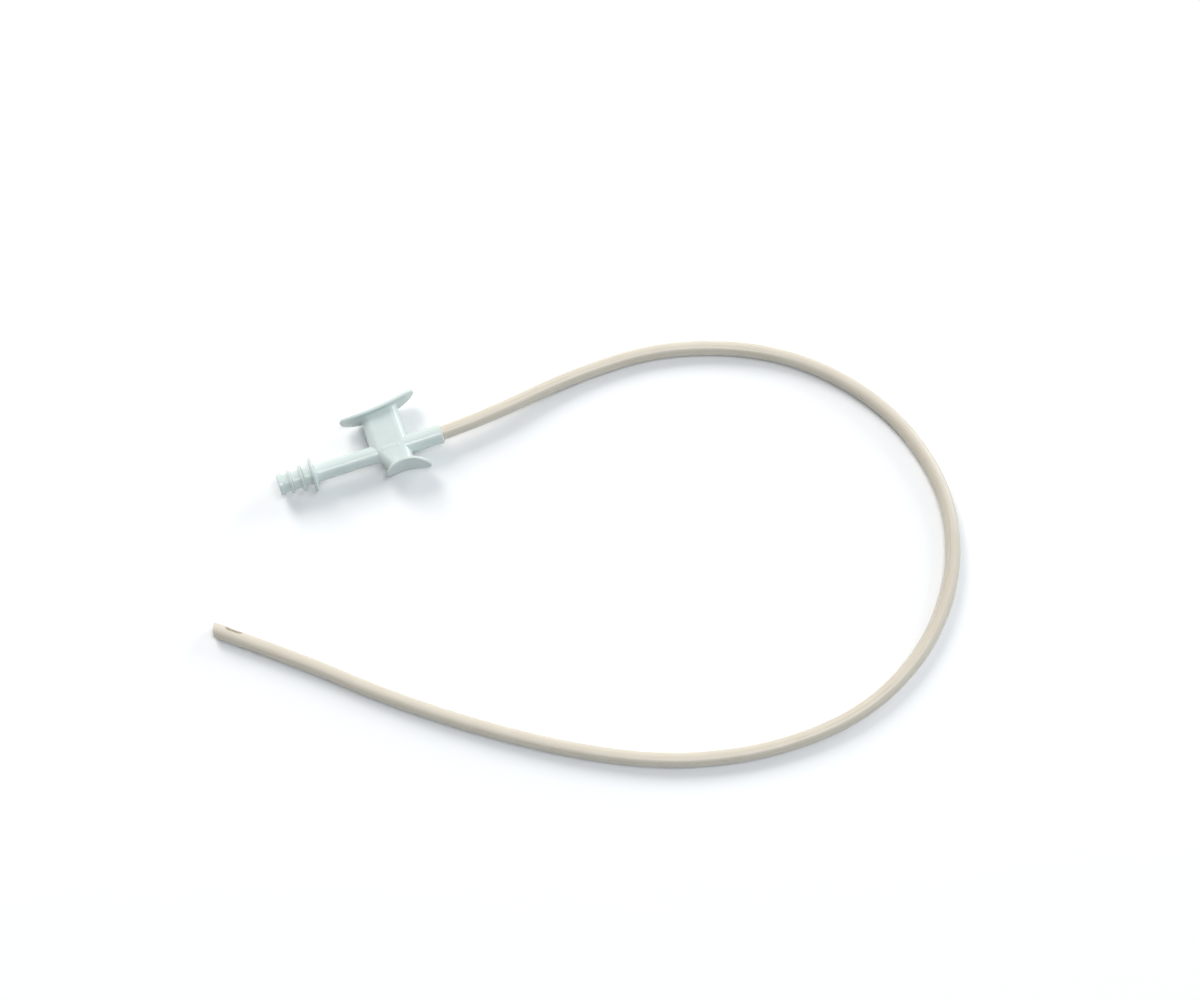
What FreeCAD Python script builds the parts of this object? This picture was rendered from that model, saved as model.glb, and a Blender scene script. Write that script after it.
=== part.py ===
import FreeCAD, Part
import math
import os
from FreeCAD import Placement, Rotation, Vector

os.makedirs("parts", exist_ok=True)

# Suction catheter: a moulded thumb-control connector with a flexible tube bonded into its socket.
# It lies on its side. The barrel runs along X, its barbed nipple at -X and its tube socket at +X.
# The thumb plate is on the +Y side and the finger plate on the -Y side. All sizes are in millimetres.

# Width that the flange and both plates share, so that the connector lies level on all three
level_width = 11.1

# Tube and the socket that it is bonded into
tube_radius = 2.335
tube_bore_radius = 1.65
socket_depth = 9.0
bond_gap = 0.03
socket_mouth_chamfer = 0.25

# Barrel, with a thicker sleeve round the socket that starts inside the tower
barrel_length = 55.0
barrel_radius = 2.9
lumen_radius = 1.8
sleeve_stand = 0.2
end_rounding = 0.35

# Nipple: a lip round its mouth, then barbs that slope up to a crest and fall steeply behind it.
# The last barb is the flange.
lip_radius = 3.55
lip_length = 1.4
mouth_chamfer = 0.5
neck_radius = 2.9
first_crest = 4.3
barb_pitch = 3.8
barb_land = 0.9
barb_rise = 0.35
barb_back = 0.4
small_barb_radius = 3.95
middle_barb_radius = 4.5
barb_rounding = 0.18
neck_rounding = 0.25

# Tower that carries the control port from the barrel to the thumb plate, a little thicker than the sleeve
tower_from_sleeve_mouth = 17.2
tower_width = 12.6
tower_stand = 0.08
tower_side_flat = 0.25
port_width = 8.6
port_thickness = 3.4
port_side_flat = 0.1
port_mouth_rounding = 0.4

# Raised band where the barrel crosses the flat sides of the tower
band_stand = 0.12
band_end_gap = 0.25
band_rounding = 0.3

# Thumb plate, an oval curved away from the barrel
thumb_plate_distance = 13.95
thumb_plate_length = 26.0
thumb_plate_end_radius = 3.7
thumb_plate_saddle = 2.1
thumb_plate_thickness = 1.15
thumb_plate_tilt = 7.0

# Finger plate, a smaller oval curved the other way and nearer to the tube.
# The stem under it narrows from the tower's section to a foot that the plate overhangs at both ends.
finger_plate_offset = 3.8
overhang_nipple_side = 1.2
overhang_tube_side = 5.0
finger_plate_distance = 6.7
finger_plate_length = 14.8
finger_plate_end_radius = 4.0
finger_plate_saddle = 2.3
finger_plate_thickness = 1.05
finger_plate_tilt = 5.4

# Roundings between the parts of the moulding
plate_rim_rounding = 0.4
plate_blend = 0.6
barrel_blend = 0.3
flange_blend = 0.6

# Open end of the tube, cut at a slant, with two eyes in its wall
tip_slant = 17.7
eye_length = 5.5
eye_width = 2.4
eye_end_flat = 0.1
seen_eye_from_tip = 6.2
other_eye_from_tip = 13.0
eye_lift = 28.0

# Sizes and places that follow
flange_radius = level_width / 2
socket_radius = tube_radius + bond_gap
sleeve_radius = barrel_radius + sleeve_stand
tower_centre = barrel_length - tower_from_sleeve_mouth
tower_thickness = 2 * (sleeve_radius + tower_stand)
tower_side_rounding = tower_thickness / 2 - tower_side_flat
band_radius = tower_thickness / 2 + band_stand
band_length = tower_width - 2 * (tower_side_rounding + band_end_gap)
stem_foot_width = finger_plate_length - overhang_nipple_side - overhang_tube_side
stem_foot_centre = tower_centre + finger_plate_offset + (overhang_nipple_side - overhang_tube_side) / 2
axis_height = level_width / 2
floor_height = tube_radius

X_AXIS = Vector(1, 0, 0)
Z_AXIS = Vector(0, 0, 1)
QUARTER_TURN = 90.0
HALF_TURN = 180.0
FULL_TURN = 360.0
SAME_PLACE = 0.001
SMOOTH_ANGLE = math.radians(5)
SEAM_TESTS = 5


def plate_reach(distance, length, saddle, tilt):
    """Distance from the barrel's axis to the end of a plate that stands farthest out."""
    slope = math.radians(tilt)
    return distance + length / 2 * math.sin(slope) + saddle * math.cos(slope)


thumb_reach = plate_reach(
    thumb_plate_distance, thumb_plate_length, thumb_plate_saddle, thumb_plate_tilt)
finger_reach = plate_reach(
    finger_plate_distance, finger_plate_length, finger_plate_saddle, finger_plate_tilt)

# The origin is under the middle of the connector, on the surface that it lies on
nipple_mouth = Vector(-barrel_length / 2, (finger_reach - thumb_reach) / 2, axis_height)
sleeve_mouth = nipple_mouth + Vector(barrel_length, 0, 0)

# Route of the tube: the way along the barrel, the way across it and the height of the tube's axis.
# The first two are counted from the mouth of the sleeve, and the height from the surface.
tube_route = [
    (-socket_depth, 0.0, axis_height),
    (11.0, 0.0, axis_height),
    (47.0, 6.5, floor_height),
    (81.0, 6.0, floor_height),
    (116.0, -8.5, floor_height),
    (140.0, -35.5, floor_height),
    (148.5, -66.5, floor_height),
    (143.0, -93.5, floor_height),
    (126.0, -116.0, floor_height),
    (100.5, -130.0, floor_height),
    (71.0, -133.0, floor_height),
    (41.0, -128.0, floor_height),
    (14.0, -116.5, floor_height),
    (-14.5, -99.0, floor_height),
    (-43.5, -77.0, floor_height),
    (-66.5, -56.0, floor_height),
    (-88.5, -38.5, floor_height),
]

# Share of the shorter of two runs that the arc between them takes up
arc_share = 0.45


def corner_arc(before, corner, after, rounding):
    """Start, arc and end of the rounding between two straight runs that meet at a corner."""
    if rounding == 0:
        return corner, None, corner
    back = (before - corner).normalize()
    onward = (after - corner).normalize()
    half_turn = (math.pi - back.getAngle(onward)) / 2
    reach = rounding * math.tan(half_turn)
    start = corner + back * reach
    end = corner + onward * reach
    inward = (back + onward).normalize()
    centre = corner + inward * (rounding / math.cos(half_turn))
    middle = centre - inward * rounding
    return start, Part.Arc(start, middle, end), end


def rounded_outline(corners):
    """Closed wire in the XY plane through corners of (x, y, rounding)."""
    count = len(corners)
    points = [Vector(x, y, 0) for x, y, rounding in corners]
    joins = []
    for index in range(count):
        following = points[(index + 1) % count]
        joins.append(corner_arc(points[index - 1], points[index], following, corners[index][2]))
    edges = []
    for index in range(count):
        start, arc, end = joins[index]
        if arc is not None:
            edges.append(arc.toShape())
        following = joins[(index + 1) % count][0]
        edges.append(Part.LineSegment(end, following).toShape())
    return Part.Wire(edges)


def rounded_rectangle(width, height, rounding):
    """Closed wire in the XY plane, with its centre at the origin."""
    right = width / 2
    top = height / 2
    return rounded_outline([
        (-right, -top, rounding), (right, -top, rounding), (right, top, rounding), (-right, top, rounding)])


def turned(corners):
    """Solid of revolution about X, from corners of (x, radius, rounding) and two on the axis."""
    profile = [(corners[0][0], 0.0, 0.0)] + corners + [(corners[-1][0], 0.0, 0.0)]
    face = Part.Face(rounded_outline(profile))
    return face.revolve(Vector(0, 0, 0), X_AXIS, FULL_TURN)


def barb(crest, crest_radius):
    """Corners of one barb, from the foot of its face to the foot behind its crest."""
    face = crest - barb_land
    return [
        (face, neck_radius, 0.0),
        (face, crest_radius - barb_rise, barb_rounding),
        (crest, crest_radius, barb_rounding),
        (crest + barb_back, neck_radius, neck_rounding),
    ]


def barrel_outside():
    """Nipple with its barbs and flange, barrel and sleeve, as one turned solid."""
    flange_crest = first_crest + 2 * barb_pitch
    corners = [
        (0.0, lip_radius, end_rounding),
        (lip_length, lip_radius, barb_rounding),
        (lip_length + barb_back, neck_radius, neck_rounding),
    ]
    corners += barb(first_crest, small_barb_radius)
    corners += barb(first_crest + barb_pitch, middle_barb_radius)
    corners += barb(flange_crest, flange_radius)[:-1]
    corners += [
        (flange_crest + barb_back, barrel_radius, flange_blend),
        (tower_centre, barrel_radius, 0.0),
        (tower_centre, sleeve_radius, 0.0),
        (barrel_length, sleeve_radius, end_rounding),
    ]
    return turned(corners)


def barrel_inside():
    """Lumen from the nipple to the shoulder that the tube stands against, and the tube's socket."""
    shoulder = barrel_length - socket_depth
    return turned([
        (0.0, lumen_radius + mouth_chamfer, 0.0),
        (mouth_chamfer, lumen_radius, 0.0),
        (shoulder, lumen_radius, 0.0),
        (shoulder, socket_radius, 0.0),
        (barrel_length - socket_mouth_chamfer, socket_radius, 0.0),
        (barrel_length, socket_radius + socket_mouth_chamfer, 0.0),
    ])


def cross_section(centre, distance, width, thickness, rounding):
    """Section of the tower, the stem or the port, at a distance from the barrel's axis."""
    outline = rounded_rectangle(width, thickness, rounding)
    outline.Placement = Placement(Vector(centre, distance, 0), Rotation(X_AXIS, QUARTER_TURN))
    return outline


def plate_curve(length, saddle):
    """Radius of the hollow side of a plate whose ends stand out by the saddle."""
    return (length ** 2 / 4 + saddle ** 2) / (2 * saddle)


def oval(length, width, end_radius):
    """Closed wire of four tangent arcs in the XY plane, with its centre at the origin."""
    end_centre = length / 2 - end_radius
    side_radius = (end_centre ** 2 + width ** 2 / 4 - end_radius ** 2) / (width - 2 * end_radius)
    side_centre = side_radius - width / 2
    reach = end_radius / (side_radius - end_radius)
    join_x = end_centre * (1 + reach)
    join_y = side_centre * reach
    places = [
        (join_x, join_y), (0, width / 2), (-join_x, join_y), (-length / 2, 0),
        (-join_x, -join_y), (0, -width / 2), (join_x, -join_y), (length / 2, 0), (join_x, join_y)]
    points = [Vector(x, y, 0) for x, y in places]
    arcs = [Part.Arc(*points[index:index + 3]).toShape() for index in (0, 2, 4, 6)]
    return Part.Wire(arcs)


def plate(length, width, end_radius, saddle, thickness, frame):
    """Oval plate, and the round bowl that fits its hollow side, both placed on the connector."""
    curve = plate_curve(length, saddle)
    foot = Vector(0, curve, -width)
    bowl = Part.makeCylinder(curve, 2 * width, foot)
    slab = Part.makeCylinder(curve + thickness, 2 * width, foot).cut(bowl)
    prism = Part.Face(oval(length, width, end_radius)).extrude(Vector(0, 0, saddle + 3 * thickness))
    prism.Placement = Placement(Vector(0, saddle + thickness, 0), Rotation(X_AXIS, QUARTER_TURN))
    shape = slab.common(prism).Solids[0]
    rims = [edge for edge in shape.Edges if edge.BoundBox.ZLength > SAME_PLACE]
    shape = shape.makeFillet(plate_rim_rounding, rims)
    shape.Placement = frame
    bowl.Placement = frame.multiply(bowl.Placement)
    return shape, bowl


def is_corner(shape, edge):
    """Whether the two faces at an edge meet at an angle."""
    first, last = edge.ParameterRange
    place = edge.valueAt((first + last) / 2)
    faces = shape.ancestorsOfType(edge, Part.Face)
    normals = [face.normalAt(*face.Surface.parameter(place)) for face in faces]
    return len(normals) == 2 and normals[0].getAngle(normals[1]) > SMOOTH_ANGLE


def seams(shape, point, direction, radius):
    """Edges where something meets a cylinder about an axis at an angle, without its own ends."""
    found = []
    for edge in shape.Edges:
        first, last = edge.ParameterRange
        distances = []
        for step in range(SEAM_TESTS):
            place = edge.valueAt(first + (last - first) * (step + 0.5) / SEAM_TESTS)
            distances.append((place - point).cross(direction).Length)
        off_cylinder = max(abs(distance - radius) for distance in distances) > SAME_PLACE
        plain = edge.Curve.TypeId in ("Part::GeomCircle", "Part::GeomLine")
        if not (off_cylinder or plain) and is_corner(shape, edge):
            found.append(edge)
    return found


def connector():
    """The whole moulding, hollowed by its lumen, its socket and the control port."""
    centre = Vector(0, 0, 0)
    thumb_frame = Placement(
        Vector(tower_centre, thumb_plate_distance, 0), Rotation(Z_AXIS, thumb_plate_tilt))
    finger_turn = Rotation(Z_AXIS, -finger_plate_tilt).multiply(Rotation(X_AXIS, HALF_TURN))
    finger_frame = Placement(
        Vector(tower_centre + finger_plate_offset, -finger_plate_distance, 0), finger_turn)
    thumb_curve = plate_curve(thumb_plate_length, thumb_plate_saddle)
    finger_curve = plate_curve(finger_plate_length, finger_plate_saddle)
    thumb_curve_centre = thumb_frame.multVec(Vector(0, thumb_curve, 0))
    finger_curve_centre = finger_frame.multVec(Vector(0, finger_curve, 0))
    thumb_plate, thumb_bowl = plate(
        thumb_plate_length, level_width, thumb_plate_end_radius, thumb_plate_saddle,
        thumb_plate_thickness, thumb_frame)
    finger_plate, finger_bowl = plate(
        finger_plate_length, level_width, finger_plate_end_radius, finger_plate_saddle,
        finger_plate_thickness, finger_frame)
    tower_face = Part.Face(cross_section(
        tower_centre, 0.0, tower_width, tower_thickness, tower_side_rounding))
    tower = tower_face.extrude(Vector(0, thumb_reach, 0)).cut(thumb_bowl)
    stem_root = cross_section(
        tower_centre, 0.0, tower_width, tower_thickness, tower_side_rounding)
    stem_foot = cross_section(
        stem_foot_centre, -finger_plate_distance, stem_foot_width, tower_thickness, tower_side_rounding)
    stem = Part.makeLoft([stem_root, stem_foot], True, True).cut(finger_bowl)
    band = turned([
        (tower_centre - band_length / 2, band_radius, band_rounding),
        (tower_centre + band_length / 2, band_radius, band_rounding)])
    body = barrel_outside().fuse([band, tower, stem, thumb_plate, finger_plate]).removeSplitter()
    for point, direction, radius, blend in (
            (thumb_curve_centre, Z_AXIS, thumb_curve + thumb_plate_thickness, plate_blend),
            (finger_curve_centre, Z_AXIS, finger_curve + finger_plate_thickness, plate_blend),
            (centre, X_AXIS, barrel_radius, barrel_blend),
            (centre, X_AXIS, sleeve_radius, barrel_blend)):
        body = body.makeFillet(blend, seams(body, point, direction, radius))
    port_face = Part.Face(cross_section(
        tower_centre, 0.0, port_width, port_thickness, port_thickness / 2 - port_side_flat))
    port = port_face.extrude(Vector(0, 2 * thumb_reach, 0))
    body = body.cut(barrel_inside().fuse(port))
    body = body.makeFillet(port_mouth_rounding, seams(body, thumb_curve_centre, Z_AXIS, thumb_curve))
    body.Placement = Placement(nipple_mouth, Rotation())
    return body


def tube_path(points):
    """Straight runs joined by tangent arcs, each as large as its two runs allow."""
    edges = []
    start = points[0]
    for before, corner, after in zip(points, points[1:], points[2:]):
        runs = [corner - before, after - corner]
        half_turn = runs[0].getAngle(runs[1]) / 2
        shorter = min(run.Length for run in runs)
        radius = arc_share * shorter / math.tan(half_turn)
        print("bend radius", round(radius, 1), "turn", round(math.degrees(2 * half_turn), 1))
        arc_start, arc, arc_end = corner_arc(before, corner, after, radius)
        edges.append(Part.LineSegment(start, arc_start).toShape())
        edges.append(arc.toShape())
        start = arc_end
    edges.append(Part.LineSegment(start, points[-1]).toShape())
    return Part.Wire(edges)


def swept(path, radius):
    """Round bar of one radius along a path that starts along X."""
    circle = Part.Circle(path.OrderedVertexes[0].Point, X_AXIS, radius).toShape()
    return path.makePipeShell([Part.Wire(circle)], True, True)


def eye_cutter(tip_frame, from_tip, turn):
    """Cutter for an eye at a distance from the tip, turned about the tube's axis from straight up."""
    outline = rounded_rectangle(eye_length, eye_width, eye_width / 2 - eye_end_flat)
    cutter = Part.Face(outline).extrude(Vector(0, 0, 2 * tube_radius))
    aim = Placement(Vector(-from_tip, 0, 0), Rotation(X_AXIS, turn))
    cutter.Placement = tip_frame.multiply(aim)
    return cutter


def catheter_tube():
    """The tube from the socket's shoulder to its slanted end, with its bore and its eyes."""
    points = [Vector(x, y, 0) + Vector(sleeve_mouth.x, sleeve_mouth.y, z) for x, y, z in tube_route]
    onward = (points[-1] - points[-2]).normalize()
    tip_frame = Placement(points[-1], Rotation(X_AXIS, onward))
    points[-1] = points[-1] + onward * tube_radius
    path = tube_path(points)
    tube = swept(path, tube_radius).cut(swept(path, tube_bore_radius))
    wall_area = math.pi * (tube_radius ** 2 - tube_bore_radius ** 2)
    print("tube length", round(path.Length - tube_radius, 1), "volume", round(tube.Volume, 2),
          "section times length", round(wall_area * path.Length, 2))
    side = 4 * tube_radius
    end_cutter = Part.makeBox(side, side, side, Vector(0, -side / 2, -side / 2))
    end_cutter.Placement = tip_frame.multiply(
        Placement(Vector(0, 0, 0), Rotation(Z_AXIS, tip_slant)))
    seen_eye = eye_cutter(tip_frame, seen_eye_from_tip, QUARTER_TURN - eye_lift)
    other_eye = eye_cutter(tip_frame, other_eye_from_tip, -QUARTER_TURN - eye_lift)
    return tube.cut([end_cutter, seen_eye, other_eye])


for name, shape in (("control_connector", connector()), ("catheter_tube", catheter_tube())):
    print(name, "valid", shape.isValid(), "solids", len(shape.Solids), "volume", round(shape.Volume, 2))
    shape.exportStep("parts/" + name + ".step")
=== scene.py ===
import bisect
import math
import bpy
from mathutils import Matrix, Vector


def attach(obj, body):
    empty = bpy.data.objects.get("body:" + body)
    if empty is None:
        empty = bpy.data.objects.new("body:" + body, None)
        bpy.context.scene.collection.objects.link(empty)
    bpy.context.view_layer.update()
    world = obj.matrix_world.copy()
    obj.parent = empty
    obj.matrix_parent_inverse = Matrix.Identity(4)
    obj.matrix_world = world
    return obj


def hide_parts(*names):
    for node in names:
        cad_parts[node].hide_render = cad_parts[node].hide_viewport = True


# Suction catheter, in metres. The connector keeps its own solid and gets its finish here.
# The tube is modelled along one smooth line, hollow, with its slanted end and its eyes.

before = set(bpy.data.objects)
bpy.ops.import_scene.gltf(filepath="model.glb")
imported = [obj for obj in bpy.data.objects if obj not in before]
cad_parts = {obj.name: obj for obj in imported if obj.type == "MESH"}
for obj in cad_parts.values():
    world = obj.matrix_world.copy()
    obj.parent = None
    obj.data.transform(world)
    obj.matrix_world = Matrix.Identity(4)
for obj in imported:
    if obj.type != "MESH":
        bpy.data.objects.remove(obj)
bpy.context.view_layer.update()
scene = bpy.context.scene
UP = Vector((0, 0, 1))

# Camera, looking down on the catheter as in the photograph
CAMERA_AZIMUTH = -18.758
CAMERA_ELEVATION = 72.0
CAMERA_DISTANCE = 1.0
CAMERA_TARGET = Vector((0.0692, -0.0401, 0.0))
SENSOR_WIDTH = 36.0
FOCAL_LENGTH = 93.0

# Connector, as far as the tube needs it
CONNECTOR_LENGTH = 0.055
AXIS_HEIGHT = 0.00555
SOCKET_DEPTH = 0.009
SLEEVE_MOUTH = Vector((CONNECTOR_LENGTH / 2, -0.003966, AXIS_HEIGHT))

# Tube
TUBE_RADIUS = 0.002335
BORE_RADIUS = 0.00165
FLOOR_HEIGHT = TUBE_RADIUS
TIP_SLANT = math.radians(17.7)
SLANT_REACH = 0.0032
END_ROUNDING = 0.00014

# Eyes in the wall near the tip: distance from the tip, and turn about the tube from straight up
EYE_LENGTH = 0.0055
EYE_WIDTH = 0.0024
EYE_END_RADIUS = 0.0011
EYE_RIM = 0.00012
EYES = ((0.0062, math.radians(62)), (0.013, math.radians(-118)))

# Mesh of the tube
COLUMNS = 64
LONG_ROW = 0.0014
SHORT_ROW = 0.00025
SHORT_ROWS = 76
EYE_ROWS = 11
EYE_COLUMNS = 6
EYE_BORDER = 8

# How far the middle of a rounding lies from each of its two faces, as a share of its radius
HALF_ROUND = 1 - math.sqrt(0.5)

# Route of the tube's axis: along the barrel and across it from the sleeve's mouth, and its height
TUBE_ROUTE = [
    (-SOCKET_DEPTH, 0.0, AXIS_HEIGHT),
    (0.011, 0.0, AXIS_HEIGHT),
    (0.047, 0.0065, FLOOR_HEIGHT),
    (0.081, 0.006, FLOOR_HEIGHT),
    (0.116, -0.0085, FLOOR_HEIGHT),
    (0.14, -0.0355, FLOOR_HEIGHT),
    (0.1485, -0.0665, FLOOR_HEIGHT),
    (0.143, -0.0935, FLOOR_HEIGHT),
    (0.126, -0.116, FLOOR_HEIGHT),
    (0.1005, -0.13, FLOOR_HEIGHT),
    (0.071, -0.133, FLOOR_HEIGHT),
    (0.041, -0.128, FLOOR_HEIGHT),
    (0.014, -0.1165, FLOOR_HEIGHT),
    (-0.0145, -0.099, FLOOR_HEIGHT),
    (-0.0435, -0.077, FLOOR_HEIGHT),
    (-0.0665, -0.056, FLOOR_HEIGHT),
    (-0.0885, -0.0385, FLOOR_HEIGHT),
]
STEPS_PER_RUN = 64

# Light of the room, on its dim and on its bright side
BRIGHT_SIDE = (0.98, -0.2, 0.0)
DIM_ROOM = 0.1
BRIGHT_ROOM = 0.62


def add_camera():
    """Camera at the photograph's angle, distance and framing."""
    azimuth = math.radians(CAMERA_AZIMUTH)
    elevation = math.radians(CAMERA_ELEVATION)
    back = Vector((
        math.sin(azimuth) * math.cos(elevation),
        -math.cos(azimuth) * math.cos(elevation),
        math.sin(elevation)))
    data = bpy.data.cameras.new("camera")
    data.sensor_width = SENSOR_WIDTH
    data.lens = FOCAL_LENGTH
    camera = bpy.data.objects.new("camera", data)
    camera.location = CAMERA_TARGET + back * CAMERA_DISTANCE
    camera.rotation_mode = "QUATERNION"
    camera.rotation_quaternion = (-back).to_track_quat("-Z", "Y")
    scene.collection.objects.link(camera)
    scene.camera = camera


def smooth_line(route):
    """Points of the tube's axis, read from a NURBS spline whose control points are the route's."""
    curve = bpy.data.curves.new("route", "CURVE")
    curve.dimensions = "3D"
    spline = curve.splines.new("NURBS")
    spline.points.add(len(route) - 1)
    for knot, (along, across, height) in zip(spline.points, route):
        knot.co = (SLEEVE_MOUTH.x + along, SLEEVE_MOUTH.y + across, height, 1.0)
    spline.order_u = 3
    spline.use_endpoint_u = True
    spline.resolution_u = STEPS_PER_RUN
    holder = bpy.data.objects.new("route", curve)
    scene.collection.objects.link(holder)
    evaluated = holder.evaluated_get(bpy.context.evaluated_depsgraph_get())
    line = bpy.data.meshes.new_from_object(evaluated)
    points = [vertex.co.copy() for vertex in line.vertices]
    bpy.data.meshes.remove(line)
    bpy.data.objects.remove(holder)
    bpy.data.curves.remove(curve)
    return points


class TubeAxis:
    """The smooth line, measured along its length, with a frame at each place."""

    def __init__(self, points):
        self.points = points
        self.lengths = [0.0]
        for before, after in zip(points, points[1:]):
            self.lengths.append(self.lengths[-1] + (after - before).length)
        self.length = self.lengths[-1]
        last = len(points) - 1
        self.headings = [
            (points[min(index + 1, last)] - points[max(index - 1, 0)]).normalized()
            for index in range(len(points))]

    def place(self, along, radius, turn):
        """Point at a distance along the axis, a radius from it, turned about it from straight up."""
        index = bisect.bisect_right(self.lengths, along) - 1
        index = max(0, min(index, len(self.points) - 2))
        share = (along - self.lengths[index]) / (self.lengths[index + 1] - self.lengths[index])
        centre = self.points[index].lerp(self.points[index + 1], share)
        turned = max(0.0, min(share, 1.0))
        heading = self.headings[index].lerp(self.headings[index + 1], turned).normalized()
        side = heading.cross(UP).normalized()
        top = side.cross(heading)
        return centre + (top * math.cos(turn) + side * math.sin(turn)) * radius


def eye_outline(across_rows, across_columns, grown, radius):
    """Where the eye's rim passes a grid place on the rectangle round the eye, as (along, turn)."""
    half_length = EYE_LENGTH / 2 + grown
    half_width = EYE_WIDTH / 2 + grown
    corner = EYE_END_RADIUS + grown
    along = across_rows / EYE_ROWS * half_length
    across = across_columns / EYE_COLUMNS * half_width
    past_along = abs(along) - (half_length - corner)
    past_across = abs(across) - (half_width - corner)
    if past_along > 0 and past_across > 0:
        shrink = corner / math.hypot(past_along, past_across)
        along = math.copysign(half_length - corner + past_along * shrink, along)
        across = math.copysign(half_width - corner + past_across * shrink, across)
    return along, math.asin(across / radius)


def eye_shift(rows, columns, radius):
    """How far a place of the grid near an eye moves, as (along, turn), so that the rim is oval."""
    clamped_rows = max(-EYE_ROWS, min(EYE_ROWS, rows))
    clamped_columns = max(-EYE_COLUMNS, min(EYE_COLUMNS, columns))
    beyond = max(abs(rows) - EYE_ROWS, abs(columns) - EYE_COLUMNS) / EYE_BORDER
    if beyond >= 1:
        return 0.0, 0.0
    along, turn = eye_outline(clamped_rows, clamped_columns, EYE_RIM, radius)
    weight = (1 - beyond) ** 2
    column_turn = 2 * math.pi / COLUMNS
    return (along - clamped_rows * SHORT_ROW) * weight, (turn - clamped_columns * column_turn) * weight


def wrapped(columns):
    """A number of columns as the shorter way round the tube."""
    return (columns + COLUMNS // 2) % COLUMNS - COLUMNS // 2


class TubeMesh:
    """Vertices and faces of the hollow tube, ring by ring, with a hole and a rim for each eye."""

    def __init__(self, axis):
        self.axis = axis
        self.vertices = []
        self.places = []
        self.faces = []
        short_start = axis.length - SHORT_ROWS * SHORT_ROW
        long_rows = round(short_start / LONG_ROW)
        self.stations = [short_start * row / long_rows for row in range(long_rows)]
        self.stations += [short_start + SHORT_ROW * row for row in range(SHORT_ROWS)]
        self.eyes = []
        for from_tip, turn in EYES:
            row = len(self.stations) - round(from_tip / SHORT_ROW)
            column = round(turn / (2 * math.pi) * COLUMNS)
            self.eyes.append((row, column))

    def add(self, along, radius, turn):
        """One vertex. Near the tip it leans forward or back, so that the end is slanted."""
        to_tip = (self.axis.length - along) / SLANT_REACH
        lean = max(0.0, 1 - to_tip)
        lean = lean * lean * (3 - 2 * lean)
        along += radius * math.sin(turn) * math.tan(TIP_SLANT) * lean
        self.vertices.append(self.axis.place(along, radius, turn))
        self.places.append((along, radius * math.cos(turn), radius * math.sin(turn)))
        return len(self.vertices) - 1

    def eye_near(self, row, column):
        """Rows and columns from the nearest eye, if the place lies within its border."""
        for eye_row, eye_column in self.eyes:
            rows = row - eye_row
            columns = wrapped(column - eye_column)
            if abs(rows) < EYE_ROWS + EYE_BORDER and abs(columns) < EYE_COLUMNS + EYE_BORDER:
                return rows, columns
        return None

    def ring(self, row, radius):
        """Ring of vertices at a row of the wall, with None inside an eye."""
        made = []
        for column in range(COLUMNS):
            near = self.eye_near(row, column)
            along = self.stations[row]
            turn = 2 * math.pi * column / COLUMNS
            if near:
                if abs(near[0]) < EYE_ROWS and abs(near[1]) < EYE_COLUMNS:
                    made.append(None)
                    continue
                shift_along, shift_turn = eye_shift(near[0], near[1], radius)
                along += shift_along
                turn += shift_turn
            made.append(self.add(along, radius, turn))
        return made

    def plain_ring(self, along, radius):
        """Ring of vertices with no eye in it."""
        return [self.add(along, radius, 2 * math.pi * column / COLUMNS) for column in range(COLUMNS)]

    def join(self, first, second, first_row=None):
        """Faces between two rings. Those inside an eye are left out."""
        for column in range(COLUMNS):
            following = (column + 1) % COLUMNS
            if first_row is not None and self.inside_eye(first_row, column):
                continue
            self.faces.append((first[column], first[following], second[following], second[column]))

    def inside_eye(self, row, column):
        """Whether the face that starts at a row and column lies inside an eye."""
        for eye_row, eye_column in self.eyes:
            rows = row - eye_row
            columns = wrapped(column - eye_column)
            if -EYE_ROWS <= rows < EYE_ROWS and -EYE_COLUMNS <= columns < EYE_COLUMNS:
                return True
        return False

    def rim_corners(self, eye, steps, rings):
        """Vertices of the rings that lie round an eye, in the order of the steps."""
        eye_row, eye_column = eye
        return [rings[eye_row + rows][(eye_column + columns) % COLUMNS] for rows, columns in steps]

    def rim(self, eye, outer_rings, inner_rings):
        """Rounded wall of an eye, from the outer hole to the inner one."""
        eye_row, eye_column = eye
        steps = [(rows, -EYE_COLUMNS) for rows in range(-EYE_ROWS, EYE_ROWS)]
        steps += [(EYE_ROWS, columns) for columns in range(-EYE_COLUMNS, EYE_COLUMNS)]
        steps += [(rows, EYE_COLUMNS) for rows in range(EYE_ROWS, -EYE_ROWS, -1)]
        steps += [(-EYE_ROWS, columns) for columns in range(EYE_COLUMNS, -EYE_COLUMNS, -1)]
        loops = [self.rim_corners(eye, steps, outer_rings)]
        for grown, radius in (
                (EYE_RIM * HALF_ROUND, TUBE_RADIUS - EYE_RIM * HALF_ROUND),
                (0.0, TUBE_RADIUS - EYE_RIM),
                (0.0, (TUBE_RADIUS + BORE_RADIUS) / 2),
                (0.0, BORE_RADIUS + EYE_RIM),
                (EYE_RIM * HALF_ROUND, BORE_RADIUS + EYE_RIM * HALF_ROUND)):
            loop = []
            for rows, columns in steps:
                along, turn = eye_outline(rows, columns, grown, radius)
                loop.append(self.add(
                    self.stations[eye_row] + along, radius,
                    2 * math.pi * eye_column / COLUMNS + turn))
            loops.append(loop)
        loops.append(self.rim_corners(eye, steps, inner_rings))
        count = len(steps)
        for upper, lower in zip(loops, loops[1:]):
            for index in range(count):
                following = (index + 1) % count
                self.faces.append((upper[index], upper[following], lower[following], lower[index]))

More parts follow.
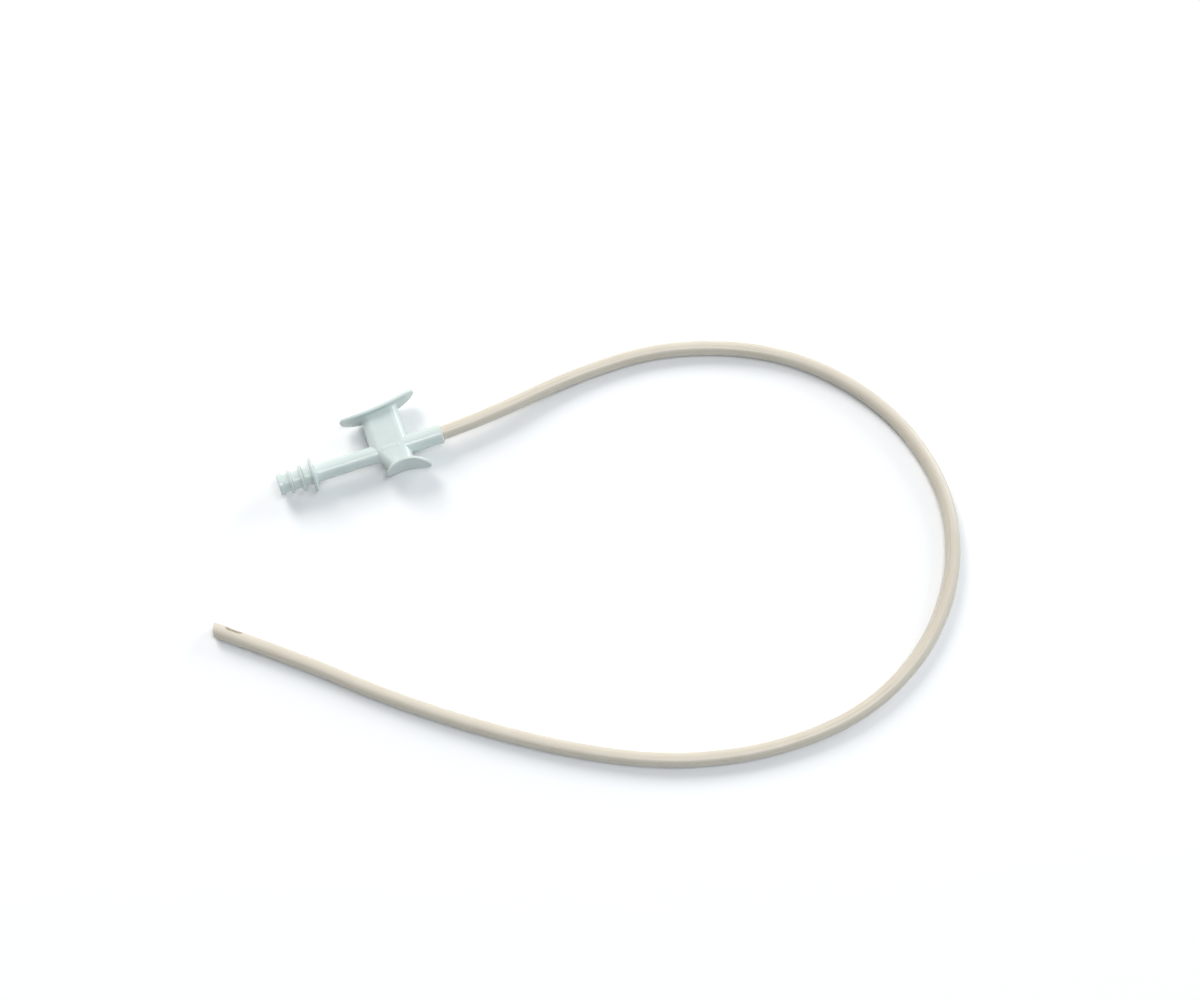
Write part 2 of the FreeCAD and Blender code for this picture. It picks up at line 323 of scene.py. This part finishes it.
    def build(self):
        """Outer wall, bore, both ends and the eyes' rims."""
        rows = range(len(self.stations))
        outer = [self.ring(row, TUBE_RADIUS) for row in rows]
        inner = [self.ring(row, BORE_RADIUS) for row in rows]
        for row in rows[:-1]:
            self.join(outer[row], outer[row + 1], row)
            self.join(inner[row + 1], inner[row], row)
        self.join(inner[0], outer[0])
        end = self.axis.length
        half_round = END_ROUNDING * HALF_ROUND
        tip = [
            self.plain_ring(end - END_ROUNDING, TUBE_RADIUS),
            self.plain_ring(end - half_round, TUBE_RADIUS - half_round),
            self.plain_ring(end, TUBE_RADIUS - END_ROUNDING),
            self.plain_ring(end, BORE_RADIUS + END_ROUNDING),
            self.plain_ring(end - half_round, BORE_RADIUS + half_round),
            self.plain_ring(end - END_ROUNDING, BORE_RADIUS)]
        rings = [outer[-1]] + tip + [inner[-1]]
        for first, second in zip(rings, rings[1:]):
            self.join(first, second)
        for eye in self.eyes:
            self.rim(eye, outer, inner)


def add_tube():
    """The catheter's tube, from the socket's shoulder to its open end."""
    points = smooth_line(TUBE_ROUTE)
    grid = TubeMesh(TubeAxis(points))
    grid.build()
    mesh = bpy.data.meshes.new("tube")
    mesh.from_pydata([tuple(vertex) for vertex in grid.vertices], [], grid.faces)
    place = mesh.attributes.new("tube_place", "FLOAT_VECTOR", "POINT")
    place.data.foreach_set("vector", [value for triple in grid.places for value in triple])
    mesh.shade_smooth()
    tube = bpy.data.objects.new("soft_tube", mesh)
    scene.collection.objects.link(tube)
    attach(tube, "root")
    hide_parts("catheter_tube")
    print("tube axis", round(grid.axis.length, 4), "vertices", len(grid.vertices), "faces", len(grid.faces))
    return tube


def new_material(name):
    material = bpy.data.materials.new(name)
    material.use_nodes = True
    nodes = material.node_tree.nodes
    nodes.clear()
    return material, nodes, material.node_tree.links


def noise(nodes, links, vector, scale, detail, roughness=0.5):
    node = nodes.new("ShaderNodeTexNoise")
    node.inputs["Scale"].default_value = scale
    node.inputs["Detail"].default_value = detail
    node.inputs["Roughness"].default_value = roughness
    links.new(vector, node.inputs["Vector"])
    return node.outputs["Fac"]


def colour_between(nodes, links, factor, low, high, first, second):
    """Colour that goes from the first to the second as the factor goes from low to high."""
    ramp = nodes.new("ShaderNodeValToRGB")
    ramp.color_ramp.elements[0].position = low
    ramp.color_ramp.elements[0].color = (*first, 1)
    ramp.color_ramp.elements[1].position = high
    ramp.color_ramp.elements[1].color = (*second, 1)
    links.new(factor, ramp.inputs["Fac"])
    return ramp.outputs["Color"]


def value_between(nodes, links, factor, low, high):
    """Number that goes from low to high as the factor goes from 0.3 to 0.7."""
    node = nodes.new("ShaderNodeMapRange")
    node.inputs["From Min"].default_value = 0.3
    node.inputs["From Max"].default_value = 0.7
    node.inputs["To Min"].default_value = low
    node.inputs["To Max"].default_value = high
    links.new(factor, node.inputs["Value"])
    return node.outputs["Result"]


def bump(nodes, links, height, strength, distance, normal=None):
    node = nodes.new("ShaderNodeBump")
    node.inputs["Strength"].default_value = strength
    node.inputs["Distance"].default_value = distance
    links.new(height, node.inputs["Height"])
    if normal is not None:
        links.new(normal, node.inputs["Normal"])
    return node.outputs["Normal"]


def tube_material():
    """Frosted, slightly translucent PVC, with faint streaks along it from the extruder."""
    material, nodes, links = new_material("frosted_pvc")
    place = nodes.new("ShaderNodeAttribute")
    place.attribute_name = "tube_place"
    drawn = nodes.new("ShaderNodeMapping")
    drawn.inputs["Scale"].default_value = (25, 700, 700)
    links.new(place.outputs["Vector"], drawn.inputs["Vector"])
    streaks = noise(nodes, links, drawn.outputs["Vector"], 1.0, 3)
    clouds = noise(nodes, links, place.outputs["Vector"], 90.0, 2)
    frost = noise(nodes, links, place.outputs["Vector"], 9000.0, 2)
    surface = nodes.new("ShaderNodeBsdfPrincipled")
    surface.inputs["IOR"].default_value = 1.5
    surface.inputs["Transmission Weight"].default_value = 0.1
    surface.inputs["Subsurface Weight"].default_value = 0.2
    surface.inputs["Subsurface Radius"].default_value = (0.0003, 0.0003, 0.0003)
    surface.inputs["Subsurface Scale"].default_value = 1.0
    colour = colour_between(nodes, links, clouds, 0.3, 0.7, (0.765, 0.69, 0.575), (0.79, 0.725, 0.61))
    links.new(colour, surface.inputs["Base Color"])
    links.new(value_between(nodes, links, streaks, 0.26, 0.31), surface.inputs["Roughness"])
    relief = bump(nodes, links, streaks, 0.03, 0.00003)
    relief = bump(nodes, links, frost, 0.12, 0.00001, relief)
    links.new(relief, surface.inputs["Normal"])
    output = nodes.new("ShaderNodeOutputMaterial")
    links.new(surface.outputs["BSDF"], output.inputs["Surface"])
    return material


def connector_material():
    """Glossy moulded plastic in pale mint white, with a faint flow pattern and a soft skin."""
    material, nodes, links = new_material("mint_plastic")
    where = nodes.new("ShaderNodeTexCoord")
    flow = noise(nodes, links, where.outputs["Object"], 160.0, 3)
    ripple = noise(nodes, links, where.outputs["Object"], 420.0, 2)
    grain = noise(nodes, links, where.outputs["Object"], 7000.0, 2)
    surface = nodes.new("ShaderNodeBsdfPrincipled")
    surface.inputs["IOR"].default_value = 1.53
    surface.inputs["Subsurface Weight"].default_value = 0.2
    surface.inputs["Subsurface Radius"].default_value = (0.001, 0.0011, 0.001)
    surface.inputs["Subsurface Scale"].default_value = 1.0
    colour = colour_between(nodes, links, flow, 0.3, 0.7, (0.675, 0.75, 0.715), (0.705, 0.775, 0.745))
    links.new(colour, surface.inputs["Base Color"])
    links.new(value_between(nodes, links, flow, 0.2, 0.28), surface.inputs["Roughness"])
    relief = bump(nodes, links, ripple, 0.12, 0.0001)
    relief = bump(nodes, links, grain, 0.1, 0.00001, relief)
    links.new(relief, surface.inputs["Normal"])
    output = nodes.new("ShaderNodeOutputMaterial")
    links.new(surface.outputs["BSDF"], output.inputs["Surface"])
    return material


def dress_connector():
    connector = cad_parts["control_connector"]
    material = connector_material()
    connector.data.materials.clear()
    connector.data.materials.append(material)


def seen_directly(nodes, links):
    """1 for what the camera sees, also in a reflection or through the tube, and otherwise 0."""
    path = nodes.new("ShaderNodeLightPath")
    total = path.outputs["Is Camera Ray"]
    for name in ("Is Glossy Ray", "Is Transmission Ray"):
        add = nodes.new("ShaderNodeMath")
        add.operation = "ADD"
        add.use_clamp = True
        links.new(total, add.inputs[0])
        links.new(path.outputs[name], add.inputs[1])
        total = add.outputs["Value"]
    return total


def add_floor():
    """White table that the catheter lies on. It looks white where it is seen, and keeps shadows."""
    bpy.ops.mesh.primitive_plane_add(size=6.0, location=(0, 0, 0))
    floor = bpy.context.object
    floor.name = "floor"
    material, nodes, links = new_material("white_table")
    mix = nodes.new("ShaderNodeMix")
    mix.data_type = "RGBA"
    mix.inputs["A"].default_value = (0.7, 0.7, 0.7, 1)
    mix.inputs["B"].default_value = (1.0, 1.0, 1.0, 1)
    links.new(seen_directly(nodes, links), mix.inputs["Factor"])
    surface = nodes.new("ShaderNodeBsdfDiffuse")
    links.new(mix.outputs["Result"], surface.inputs["Color"])
    output = nodes.new("ShaderNodeOutputMaterial")
    links.new(surface.outputs["BSDF"], output.inputs["Surface"])
    floor.data.materials.append(material)


def add_lamp(name, towards, distance, width, height, light, colour, glossy=True):
    """Soft box that looks at the catheter. The light is what it adds to a white surface facing it."""
    data = bpy.data.lights.new(name, "AREA")
    data.shape = "RECTANGLE"
    data.size = width
    data.size_y = height
    data.energy = light * (math.pi * distance) ** 2
    data.color = colour
    lamp = bpy.data.objects.new(name, data)
    direction = Vector(towards).normalized()
    lamp.location = CAMERA_TARGET + direction * distance
    lamp.rotation_mode = "QUATERNION"
    lamp.rotation_quaternion = direction.to_track_quat("Z", "Y")
    lamp.visible_glossy = glossy
    scene.collection.objects.link(lamp)


def add_room():
    """Room round the table, brighter on the tube's side than on the nipple's."""
    world = bpy.data.worlds.new("room")
    world.use_nodes = True
    nodes = world.node_tree.nodes
    links = world.node_tree.links
    where = nodes.new("ShaderNodeTexCoord")
    facing = nodes.new("ShaderNodeVectorMath")
    facing.operation = "DOT_PRODUCT"
    facing.inputs[1].default_value = BRIGHT_SIDE
    links.new(where.outputs["Generated"], facing.inputs[0])
    strength = nodes.new("ShaderNodeMapRange")
    strength.inputs["From Min"].default_value = -1.0
    strength.inputs["From Max"].default_value = 1.0
    strength.inputs["To Min"].default_value = DIM_ROOM
    strength.inputs["To Max"].default_value = BRIGHT_ROOM
    links.new(facing.outputs["Value"], strength.inputs["Value"])
    nodes["Background"].inputs["Color"].default_value = (0.76, 0.88, 1.0, 1)
    links.new(strength.outputs["Result"], nodes["Background"].inputs["Strength"])
    scene.world = world


def add_light():
    add_lamp("key_light", (-0.2, 0.74, 0.56), 2.6, 1.3, 1.3, 0.67, (1.0, 0.965, 0.92), glossy=False)
    add_lamp("top_light", (0.1, -0.16, 0.98), 2.6, 1.6, 0.12, 0.32, (1.0, 0.985, 0.97))
    add_lamp("side_light", (0.9, 0.3, 0.36), 2.2, 0.9, 0.8, 0.3, (1.0, 1.0, 1.0))
    add_room()
    scene.view_settings.view_transform = "Standard"


add_camera()
tube = add_tube()
tube.data.materials.append(tube_material())
dress_connector()
add_floor()
add_light()
